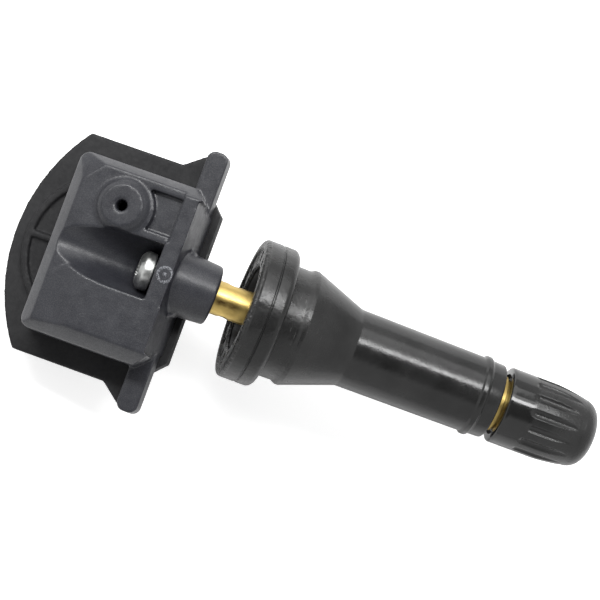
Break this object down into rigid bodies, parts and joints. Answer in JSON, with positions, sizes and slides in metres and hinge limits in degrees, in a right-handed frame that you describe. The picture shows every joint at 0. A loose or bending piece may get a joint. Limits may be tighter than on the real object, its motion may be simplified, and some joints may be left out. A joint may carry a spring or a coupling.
{
  "type": "tyre pressure sensor",
  "caption": "Tyre pressure sensor on a snap-in rubber valve: plastic housing with port and coin cell, brass stem with valve core, and a screw cap.",
  "frame": {"origin": "on the valve axis, in the plane of the flange shoulder that rests on the inside of the wheel rim", "axes": "+X along the valve axis towards the cap, +Z out of the side of the sensor that has the pressure port, +Y across the sensor towards the port"},
  "size_m": [0.0833, 0.0372, 0.0242],
  "materials": {
    "housing_plastic": "satin",
    "cover_plastic": "matt, slightly grained",
    "valve_rubber": "smooth, semi-gloss",
    "cap_plastic": "gloss",
    "brass": "turned",
    "zinc_steel": "zinc plated",
    "nickel_sheet": "bright",
    "board": "lacquered",
    "chip_epoxy": "matt",
    "soft_seal": "matt",
    "copper_winding": "enamelled",
    "red_seal": "smooth"
  },
  "bodies": {
    "valve_and_sensor": {"housing": "housing_plastic", "base_cover": "cover_plastic", "coin_cell": "nickel_sheet", "cell_tab_plus": "nickel_sheet", "cell_tab_minus": "nickel_sheet", "circuit_board": "board", "pressure_sensor": "chip_epoxy", "port_seal": "soft_seal", "controller_chip": "chip_epoxy", "clock_crystal": "nickel_sheet", "receiver_coil": "copper_winding", "transmit_antenna": "copper_winding", "chip_parts": "chip_epoxy", "retaining_screw": "zinc_steel", "brass_stem": "brass", "rubber_body": "valve_rubber", "core_plug": "brass", "core_barrel": "brass", "core_barrel_seal": "red_seal", "core_spring": "zinc_steel"},
    "core_pin_group": {"core_pin": "brass", "core_cup": "soft_seal"},
    "cap_lifter": {"cap_seal": "soft_seal"},
    "cap_turner": {"cap": "cap_plastic"}
  },
  "joints": [
    {"name": "cap_lift", "type": "slide", "parent": "valve_and_sensor", "child": "cap_lifter", "axis": [1, 0, 0], "range_m": [0, 0.0127]},
    {"name": "cap_turn", "type": "hinge", "parent": "cap_lifter", "child": "cap_turner", "pos_m": [0, 0, 0], "axis": [1, 0, 0], "range_deg": [0, 5760]},
    {"name": "core_press", "type": "slide", "parent": "valve_and_sensor", "child": "core_pin_group", "axis": [-1, 0, 0], "range_m": [0, 0.0014], "stiffness_N_per_m": 600, "springref_m": -0.002, "deforming": ["core_spring"]}
  ],
  "couplings": [
    {"joint": "cap_turn", "follows": "cap_lift", "rad_per_m": 7915.8}
  ]
}
